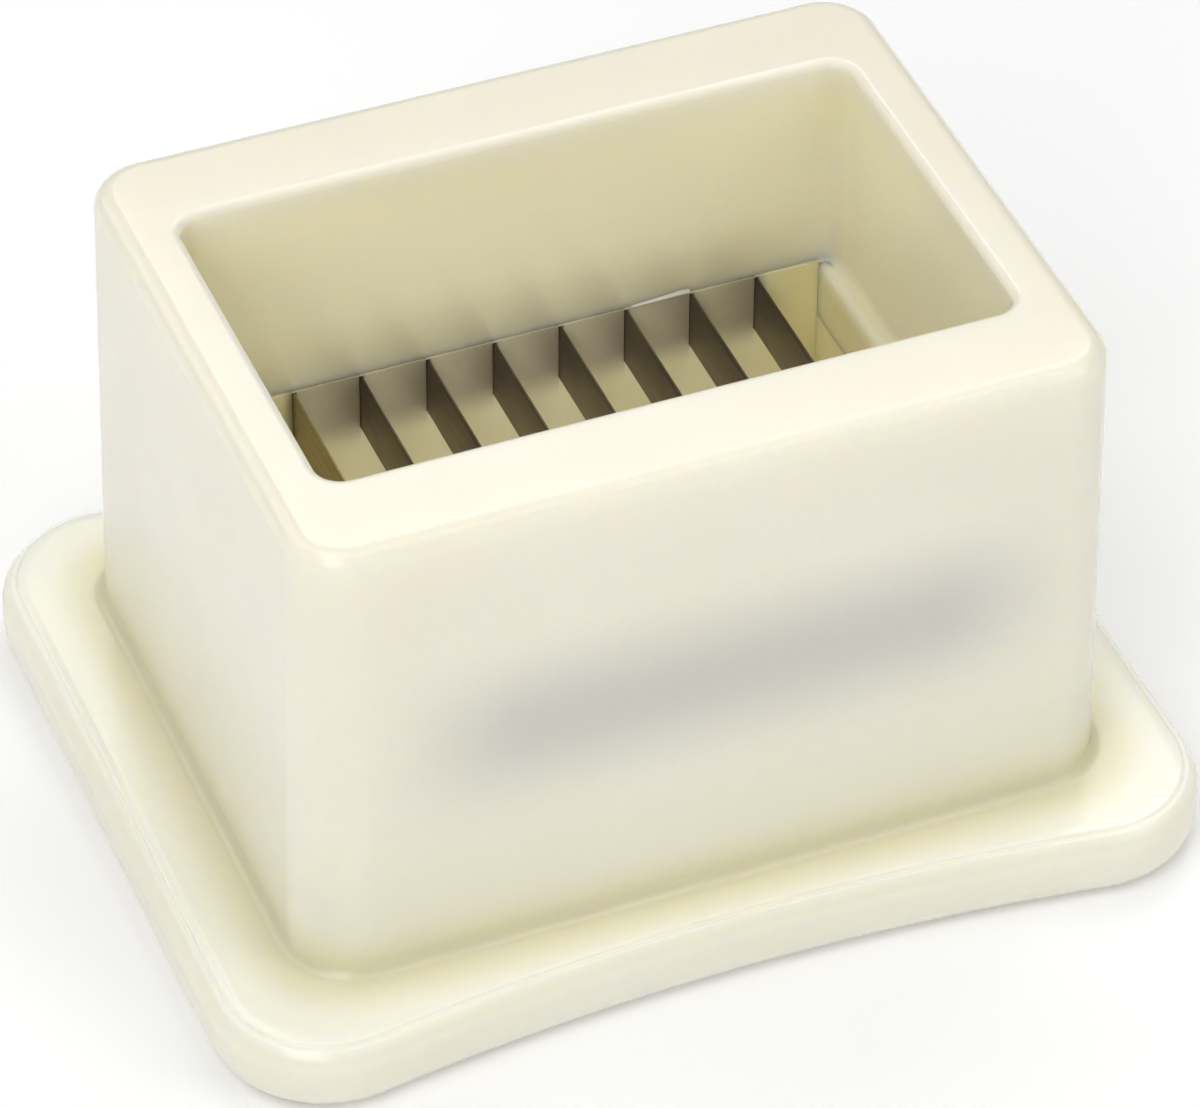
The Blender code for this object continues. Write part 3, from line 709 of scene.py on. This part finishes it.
def split_blades(pack, pitch):
    """Each blade is a separate strip, so the row is parted into one object for each."""
    comb_middle = (comb_low.y + comb_high.y) / 2
    for number, (low, high) in enumerate(blade_boxes, start=1):
        middle = (low.x + high.x) / 2
        work = bmesh.new()
        work.from_mesh(pack.data)
        others = [v for v in work.verts if abs(v.co.x - middle) > pitch / 2]
        bmesh.ops.delete(work, geom=others, context="VERTS")
        blade = mesh_object(f"blade_strip_{number}", work)
        for y in (comb_middle, -comb_middle):
            cut(blade, rod("rod hole", ROD_BORE_RADIUS, (middle - 2 * MM, y, TIE_ROD_LEVEL),
                           (middle + 2 * MM, y, TIE_ROD_LEVEL), 24))
        finish_piece(blade, blade_steel, "blade_steel", f"blade_{number}")
    bpy.data.objects.remove(pack)


rod_low, rod_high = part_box("tie_rod_rear")
TIE_ROD_LEVEL = (rod_low.z + rod_high.z) / 2
ROD_BORE_RADIUS = 1.5 * MM
make_blades()

# %% [markdown]
# ## Cassette plastic
# The combs and bars round the blades are the same family of plastic, seen only deep in the chute
# where light has bounced off ivory many times. Their colour is painted darker and warmer than the
# housing's, for that bounced light, and their finish is duller. Between the blades they carry
# painted shade, past the last blade a painted warm glow, and above the blades' tops a painted
# highlight.

# %% The cassette's plastic
CASSETTE = (0.82, 0.770, 0.54)
CASSETTE_WARM = (0.79, 0.725, 0.46)
CASSETTE_SHADE = (0.355, 0.305, 0.215)
CASSETTE_PAINTED_GLOW = (0.85, 0.765, 0.42)
CASSETTE_PAINTED_HIGHLIGHT = (0.86, 0.81, 0.63)
PACK_MIDDLE = (blade_boxes[0][0].x + blade_boxes[-1][1].x) / 2
PACK_HALF = (blade_boxes[-1][1].x - blade_boxes[0][0].x) / 2
PITCH = (blade_boxes[-1][0].x - blade_boxes[0][0].x) / (len(blade_boxes) - 1)


def make_cassette_plastic(name):
    material, tree, shader = new_material(name)
    place = add_node(tree, "ShaderNodeTexCoord").outputs["Object"]
    axes = add_node(tree, "ShaderNodeSeparateXYZ", {"Vector": place})
    x, z = axes.outputs["X"], axes.outputs["Z"]
    drift = remap(tree, noise(tree, place, 60.0), 0.35, 0.65, 0.0, 0.6)
    colour = tint(tree, drift, CASSETTE, CASSETTE_WARM)
    # Painted shade: between the blades the upper band of the plastic is darkened, most just left of
    # each blade.
    beside = remap(tree, z, BLADE_TOP - 11 * MM, BLADE_TOP - 6 * MM, 0.0, 1.0)
    steps = maths(tree, "DIVIDE", maths(tree, "SUBTRACT", x, PACK_MIDDLE - PACK_HALF), PITCH)
    toward = remap(tree, maths(tree, "FRACT", steps), 0.1, 0.95, 0.55, 1.0)
    beside = maths(tree, "MULTIPLY", beside, toward)
    off_middle = maths(tree, "ABSOLUTE", maths(tree, "SUBTRACT", x, PACK_MIDDLE))
    within = remap(tree, off_middle, PACK_HALF, PACK_HALF + 1.5 * MM, 1.0, 0.0)
    colour = tint(tree, maths(tree, "MULTIPLY", beside, within), colour, CASSETTE_SHADE)
    # Painted light: past the last blade the plastic gets a warm painted glow.
    past = remap(tree, off_middle, PACK_HALF - 1 * MM, PACK_HALF + 6 * MM, 0.0, 1.0)
    past = maths(tree, "MULTIPLY", past, remap(tree, z, frame_high.z, frame_high.z + 12 * MM,
                                               0.0, 1.0))
    colour = tint(tree, past, colour, CASSETTE_PAINTED_GLOW)
    # Painted highlight: above the blades' tops, where the sliver stands, the plastic is paler, as if
    # catching the light from above.
    sliver = remap(tree, z, BLADE_TOP + 0.15 * MM, BLADE_TOP + 0.3 * MM, 0.0, 1.0)
    colour = tint(tree, sliver, colour, CASSETTE_PAINTED_HIGHLIGHT)
    tree.links.new(colour, shader.inputs["Base Color"])
    fine = noise(tree, place, 1800.0, 2.0)
    tree.links.new(bump(tree, fine, 0.15, 0.05 * MM), shader.inputs["Normal"])
    tree.links.new(remap(tree, fine, 0.3, 0.7, 0.42, 0.5), shader.inputs["Roughness"])
    shader.inputs["Subsurface Weight"].default_value = 0.4
    shader.inputs["Subsurface Radius"].default_value = (1.0, 0.85, 0.5)
    shader.inputs["Subsurface Scale"].default_value = 3 * MM
    return material


cassette_plastic = make_cassette_plastic("ivory plastic, dull")

# %% [markdown]
# ## The combs
# The two combs hold the blade ends. Each is a tall bar with a row of blind slots, a bore for its tie
# rod and a pocket at each end for the nut. Between the blades its face is what shows as the lower
# wall of the well, and its top stands a hair inside the chute wall as a thin bright line. The slots
# close tightly round the blades, and a sliver of plastic stands above the rear comb.

# %% Two slotted combs
SLOT_CLEARANCE = 0.06 * MM
SLOT_DEPTH = 6.4 * MM
COMB_STEP = 0.18 * MM
NUT_POCKET_RADIUS = 3.15 * MM
NUT_POCKET_DEPTH = 2.6 * MM


def make_comb(side, sign):
    name = "comb_" + side
    low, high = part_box(name)
    comb = block("slotted_" + name, low, (high.x, high.y, high.z + COMB_STEP))
    face = sign * OUTLET_HALF_WIDTH
    for blade_low, blade_high in blade_boxes:
        ys = sorted((face - sign * MM, face + sign * SLOT_DEPTH))
        cut(comb, block("slot", (blade_low.x - SLOT_CLEARANCE, ys[0], blade_low.z - SLOT_CLEARANCE),
                        (blade_high.x + SLOT_CLEARANCE, ys[1], blade_high.z + SLOT_CLEARANCE)))
    middle = (low.y + high.y) / 2
    cut(comb, rod("bore", ROD_BORE_RADIUS, (low.x - MM, middle, TIE_ROD_LEVEL),
                  (high.x + MM, middle, TIE_ROD_LEVEL)))
    for end, x in ((-1, low.x), (1, high.x)):
        cut(comb, rod("nut pocket", NUT_POCKET_RADIUS, (x + end * MM, middle, TIE_ROD_LEVEL),
                      (x - end * NUT_POCKET_DEPTH, middle, TIE_ROD_LEVEL)))
    round_edges(comb, 0.08 * MM, 2, 60)
    return comb


def make_flash():
    """A sliver of plastic that squeezed out above the rear comb between two blades."""
    start, end = blade_boxes[5][1].x, blade_boxes[6][0].x
    outline = ((0.0, 0.1), (0.1, 0.4), (0.35, 0.5), (0.6, 0.65), (0.85, 0.85), (1.0, 0.7))
    foot = BLADE_TOP
    work = bmesh.new()
    sections = []
    for share, rise in outline:
        x = start + (end - start) * share
        corners = ((0.02, 0.0), (0.24, 0.0), (0.24, rise), (-0.04, rise * 0.55))
        sections.append([work.verts.new((x, OUTLET_HALF_WIDTH + y * MM, foot + z * MM))
                         for y, z in corners])
    for near, far in zip(sections, sections[1:]):
        for i in range(4):
            work.faces.new((near[i], near[i - 1], far[i - 1], far[i]))
    work.faces.new(sections[0])
    work.faces.new(sections[-1])
    return mesh_object("flash", work)


# %% Finish the combs
front_comb = make_comb("front", -1)
finish_piece(front_comb, cassette_plastic, "ivory_cassette_plastic", "comb_front")
rear_comb = make_comb("rear", 1)
join(rear_comb, make_flash())
finish_piece(rear_comb, cassette_plastic, "ivory_cassette_plastic", "comb_rear")

# %% [markdown]
# ## End bars and retaining frame
# Two bars keep the combs apart under the end ledges, and a plate screwed into the underside closes
# the pocket. Nobody sees them from above, but the part can be picked up and turned over, so the
# plate's edges are rounded as moulded edges are.

# %% End bars
REACH = FIT


def make_end_bar(end):
    name = "end_bar_" + end
    low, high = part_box(name)
    bar = block("moulded_" + name, (low.x - OUTLET_CORNER * (low.x > 0), low.y - REACH, low.z),
                (high.x + OUTLET_CORNER * (low.x < 0), high.y + REACH, high.z + REACH))
    outlet = block_ring(OUTLET_HALF_LENGTH, OUTLET_HALF_WIDTH, OUTLET_CORNER)
    cut(bar, loft("outlet", [(low.z - MM, outlet), (high.z + MM, outlet)]))
    return finish_piece(bar, cassette_plastic, "ivory_cassette_plastic", name)


make_end_bar("left")
make_end_bar("right")

# %% Retaining frame
screw_boxes = [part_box(f"retaining_screw_{number}") for number in range(1, 5)]
HEAD_SINK_RADIUS = 3.1 * MM
HEAD_SINK_DEPTH = 1.9 * MM


def make_retaining_frame():
    outline = block_ring(frame_high.x, frame_high.y, FRAME_CORNER)
    plate = loft("retaining_plate", [(frame_low.z, outline), (frame_high.z, outline)])
    window = block_ring(OUTLET_HALF_LENGTH, OUTLET_HALF_WIDTH, POCKET_CORNER)
    cut(plate, loft("window", [(frame_low.z - MM, window), (frame_high.z + MM, window)]))
    round_edges(plate, 0.4 * MM, 3, 60)
    for low, high in screw_boxes:
        x, y = (low.x + high.x) / 2, (low.y + high.y) / 2
        cut(plate, rod("hole", SCREW_HOLE_RADIUS, (x, y, 0.0), (x, y, frame_high.z + MM)))
        cut(plate, rod("head sink", HEAD_SINK_RADIUS, (x, y, 0.0), (x, y, low.z + HEAD_SINK_DEPTH)))
    return finish_piece(plate, cassette_plastic, "ivory_cassette_plastic", "retaining_frame")


make_retaining_frame()

# %% [markdown]
# ## Fasteners
# Tie rods and nuts hold the blades in their combs, and four screws hold the frame. Each thread is a
# small triangle carried along a helix, round a plain core, which is just what a thread is.

# %% Plain stainless for the fasteners
def make_fastener_steel(name):
    material, tree, shader = new_material(name)
    place = add_node(tree, "ShaderNodeTexCoord").outputs["Object"]
    scuffs = noise(tree, place, 900.0, 4.0)
    tree.links.new(tint(tree, remap(tree, scuffs, 0.3, 0.7, 0.0, 1.0), (0.50, 0.50, 0.49),
                        (0.66, 0.66, 0.64)), shader.inputs["Base Color"])
    tree.links.new(remap(tree, scuffs, 0.3, 0.7, 0.22, 0.40), shader.inputs["Roughness"])
    tree.links.new(bump(tree, scuffs, 0.1, 0.02 * MM), shader.inputs["Normal"])
    shader.inputs["Metallic"].default_value = 1.0
    return material


fastener_steel = make_fastener_steel("plain stainless steel")


# %% Threads as a triangle on a helix
def thread(name, outer_radius, pitch, length):
    """A threaded bar standing on the origin: a core, and a ridge along a helix."""
    depth = 0.6 * pitch
    nodes = NodeTree(name, Core_radius=outer_radius - depth, Ridge_radius=outer_radius - depth / 2,
                     Pitch=pitch, Length=length, Ridge=depth / 1.5, Steel=fastener_steel)
    core = nodes.add("GeometryNodeMeshCylinder", Vertices=32, Radius=nodes.value("Core_radius"),
                     Depth=nodes.value("Length")).outputs["Mesh"]
    lift = nodes.vector(z=nodes.math("MULTIPLY", nodes.value("Length"), 0.5))
    core = nodes.add("GeometryNodeTransform", at_0=core, Translation=lift).outputs[0]
    run = nodes.math("SUBTRACT", nodes.value("Length"), nodes.math(
        "MULTIPLY", nodes.value("Pitch"), 1.2))
    helix = nodes.add("GeometryNodeCurveSpiral", Resolution=20, Start_Radius=nodes.value(
        "Ridge_radius"), End_Radius=nodes.value("Ridge_radius"), Height=run,
        Rotations=nodes.math("DIVIDE", run, nodes.value("Pitch"))).outputs[0]
    ridge = nodes.add("GeometryNodeCurvePrimitiveCircle", Resolution=3,
                      Radius=nodes.value("Ridge")).outputs["Curve"]
    wound = nodes.add("GeometryNodeCurveToMesh", Curve=helix, Profile_Curve=ridge,
                      Fill_Caps=True).outputs[0]
    start = nodes.vector(z=nodes.math("MULTIPLY", nodes.value("Pitch"), 0.6))
    wound = nodes.add("GeometryNodeTransform", at_0=wound, Translation=start).outputs[0]
    both = nodes.add("GeometryNodeJoinGeometry")
    for part in (core, wound):
        nodes.tree.links.new(part, both.inputs[0])
    return nodes.mesh(name, both.outputs[0], "Steel")


def put(piece, place, direction=(0, 0, 1)):
    """Turn a piece's +Z to a direction and move it, in its mesh, so its object stays put."""
    turn = Vector((0, 0, 1)).rotation_difference(Vector(direction)).to_matrix().to_4x4()
    piece.data.transform(Matrix.Translation(Vector(place)) @ turn)


# %% Tie rods and nuts
ROD_RADIUS = 1.1 * MM
ROD_THREAD_RADIUS = 1.25 * MM
ROD_THREAD_PITCH = 0.45 * MM
ROD_THREAD_LENGTH = 6 * MM
ROD_PLAIN_INSET = 5 * MM


def make_tie_rod(side):
    name = "tie_rod_" + side
    low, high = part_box(name)
    middle = (low.y + high.y) / 2
    bar = rod("threaded_" + name, ROD_RADIUS, (low.x + ROD_PLAIN_INSET, middle, TIE_ROD_LEVEL),
              (high.x - ROD_PLAIN_INSET, middle, TIE_ROD_LEVEL), 32)
    ends = []
    for sign, x in ((1, low.x), (-1, high.x)):
        end = thread("rod end", ROD_THREAD_RADIUS, ROD_THREAD_PITCH, ROD_THREAD_LENGTH)
        put(end, (x, middle, TIE_ROD_LEVEL), (sign, 0, 0))
        ends.append(end)
    join(bar, *ends)
    return finish_piece(bar, fastener_steel, "fastener_steel", name)


def make_nut(name):
    low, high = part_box(name)
    middle = (low + high) / 2
    radius = (high.y - low.y) / 2
    nut = rod("chamfered_" + name, radius, (low.x, middle.y, middle.z),
              (high.x, middle.y, middle.z), 6)
    cut(nut, rod("nut bore", ROD_BORE_RADIUS, (low.x - MM, middle.y, middle.z),
                 (high.x + MM, middle.y, middle.z)))
    round_edges(nut, 0.18 * MM, 2, 40)
    return finish_piece(nut, fastener_steel, "fastener_steel", name)


for side in ("front", "rear"):
    make_tie_rod(side)
    for end in ("left", "right"):
        make_nut(f"tie_rod_nut_{side}_{end}")


# %% Retaining screws: a crowned head, a hexagon socket and a threaded shank
HEAD_HEIGHT = 1.6 * MM
SOCKET_RADIUS = 1.3 * MM
SOCKET_DEPTH = 1.0 * MM
SCREW_RADIUS = 1.5 * MM
SCREW_PITCH = 0.6 * MM
SHANK_OVERLAP = 0.2 * MM


def make_screw(number, low, high):
    x, y = (low.x + high.x) / 2, (low.y + high.y) / 2
    radius = (high.x - low.x) / 2
    profile = [(0.80, 0.00), (0.90, 0.04), (0.97, 0.14), (1.00, 0.30), (1.00, 1.00)]
    rings = [(low.z + HEAD_HEIGHT * up, arc((x, y), radius * out, 0, 2 * math.pi, 48)[:-1])
             for out, up in profile]
    screw = loft(f"threaded_screw_{number}", rings)
    cut(screw, rod("socket", SOCKET_RADIUS, (x, y, low.z - MM), (x, y, low.z + SOCKET_DEPTH), 6))
    length = high.z - low.z - HEAD_HEIGHT + SHANK_OVERLAP
    shank = thread("shank", SCREW_RADIUS, SCREW_PITCH, length)
    put(shank, (x, y, low.z + HEAD_HEIGHT - SHANK_OVERLAP))
    join(screw, shank)
    return finish_piece(screw, fastener_steel, "fastener_steel", f"retaining_screw_{number}")


for number, (low, high) in enumerate(screw_boxes, start=1):
    make_screw(number, low, high)

# %% [markdown]
# ## Floor, light and camera
# The slicer stands on a plain pale floor, among eight soft lamps and a faint even surround. The
# floor glows a little, and more under the outlet, so that light comes up between the blades. The
# camera looks down from the front left with a long lens, so upright edges lean only a little.

# %% Floor
TABLE_GLOW = 0.06
OUTLET_GLOW = 0.6


def make_floor():
    work = bmesh.new()
    bmesh.ops.create_grid(work, x_segments=8, y_segments=8, size=3.0)
    floor = mesh_object("floor", work)
    material, tree, shader = new_material("pale floor")
    place = add_node(tree, "ShaderNodeTexCoord").outputs["Object"]
    cloud = remap(tree, noise(tree, place, 3.0), 0.3, 0.7, 0.0, 1.0)
    tree.links.new(tint(tree, cloud, (0.93, 0.93, 0.93), (0.94, 0.94, 0.94)),
                   shader.inputs["Base Color"])
    shader.inputs["Roughness"].default_value = 0.9
    shader.inputs["Emission Color"].default_value = (1.0, 1.0, 1.0, 1.0)
    axes = add_node(tree, "ShaderNodeSeparateXYZ", {"Vector": place}).outputs
    under_x = remap(tree, maths(tree, "ABSOLUTE", axes["X"]), 45 * MM, 50 * MM, 1.0, 0.0)
    under_y = remap(tree, maths(tree, "ABSOLUTE", axes["Y"]), 30 * MM, 35 * MM, 1.0, 0.0)
    under = maths(tree, "MULTIPLY", under_x, under_y)
    tree.links.new(remap(tree, under, 0.0, 1.0, TABLE_GLOW, OUTLET_GLOW),
                   shader.inputs["Emission Strength"])
    floor.data.materials.append(material)
    if floor.data.polygons[0].normal.z < 0:
        floor.data.flip_normals()


make_floor()

# %% Lights
OBJECT_MIDDLE = Vector((0, 0, HEIGHT / 2))


def softbox(name, azimuth, elevation, size, power, distance=0.8):
    """A soft lamp round the object, aimed at its middle. Azimuth 0 is the front, minus is left."""
    turn, lift = math.radians(azimuth), math.radians(elevation)
    away = Vector((math.sin(turn) * math.cos(lift), -math.cos(turn) * math.cos(lift),
                   math.sin(lift)))
    data = bpy.data.lights.new(name, "AREA")
    data.shape = "RECTANGLE"
    data.size, data.size_y = size
    data.energy = power
    lamp = bpy.data.objects.new(name, data)
    lamp.location = OBJECT_MIDDLE + away * distance
    lamp.rotation_euler = (-away).to_track_quat("-Z", "Y").to_euler()
    bpy.context.scene.collection.objects.link(lamp)


softbox("front left softbox", -40, 30, (0.5, 0.5), 2.5, 0.9)
softbox("front right softbox", 45, 30, (0.5, 0.5), 1.5, 0.9)
softbox("upper front strip", 28, 60, (0.4, 0.06), 0.34)
softbox("back left softbox", -130, 35, (0.5, 0.5), 1.1)
softbox("upper left softbox", -60, 60, (0.5, 0.5), 1.85)
softbox("upper right softbox", 70, 60, (0.5, 0.5), 0.85)
softbox("overhead softbox", 0, 89, (0.7, 0.5), 0.55)
softbox("upper back softbox", 150, 55, (0.6, 0.4), 2.4)

world = bpy.data.worlds.new("even surround")
bpy.context.scene.world = world
world.use_nodes = True
world.node_tree.nodes["Background"].inputs["Color"].default_value = (1.0, 1.0, 1.0, 1.0)
world.node_tree.nodes["Background"].inputs["Strength"].default_value = 0.05
bpy.context.scene.view_settings.view_transform = "Standard"

# %% Camera
AZIMUTH = math.radians(-22.24)
ELEVATION = math.radians(40.60)
ROLL = math.radians(0.39)
DISTANCE = 0.7887
LENS = 197.8
AIM_RIGHT = 0.89 * MM
AIM_DOWN = 6.42 * MM


def make_camera():
    data = bpy.data.cameras.new("camera")
    data.lens = LENS
    data.sensor_width = 36.0
    data.clip_end = 20.0
    camera = bpy.data.objects.new("camera", data)
    back = Vector((math.sin(AZIMUTH) * math.cos(ELEVATION),
                   -math.cos(AZIMUTH) * math.cos(ELEVATION), math.sin(ELEVATION)))
    place = OBJECT_MIDDLE + back * DISTANCE
    # The middle of the picture lies a little right of and below the object's middle.
    right = (-back).cross(Vector((0, 0, 1))).normalized()
    up = right.cross(-back)
    level_right = right * math.cos(ROLL) + up * math.sin(ROLL)
    level_up = up * math.cos(ROLL) - right * math.sin(ROLL)
    aim = OBJECT_MIDDLE + level_right * AIM_RIGHT - level_up * AIM_DOWN
    camera.rotation_mode = "QUATERNION"
    look = (aim - place).normalized()
    side = level_right - look * look.dot(level_right)
    side.normalize()
    basis = Matrix((side, side.cross(look), -look)).transposed()
    camera.rotation_quaternion = basis.to_quaternion()
    camera.location = place
    bpy.context.scene.collection.objects.link(camera)
    bpy.context.scene.camera = camera


make_camera()
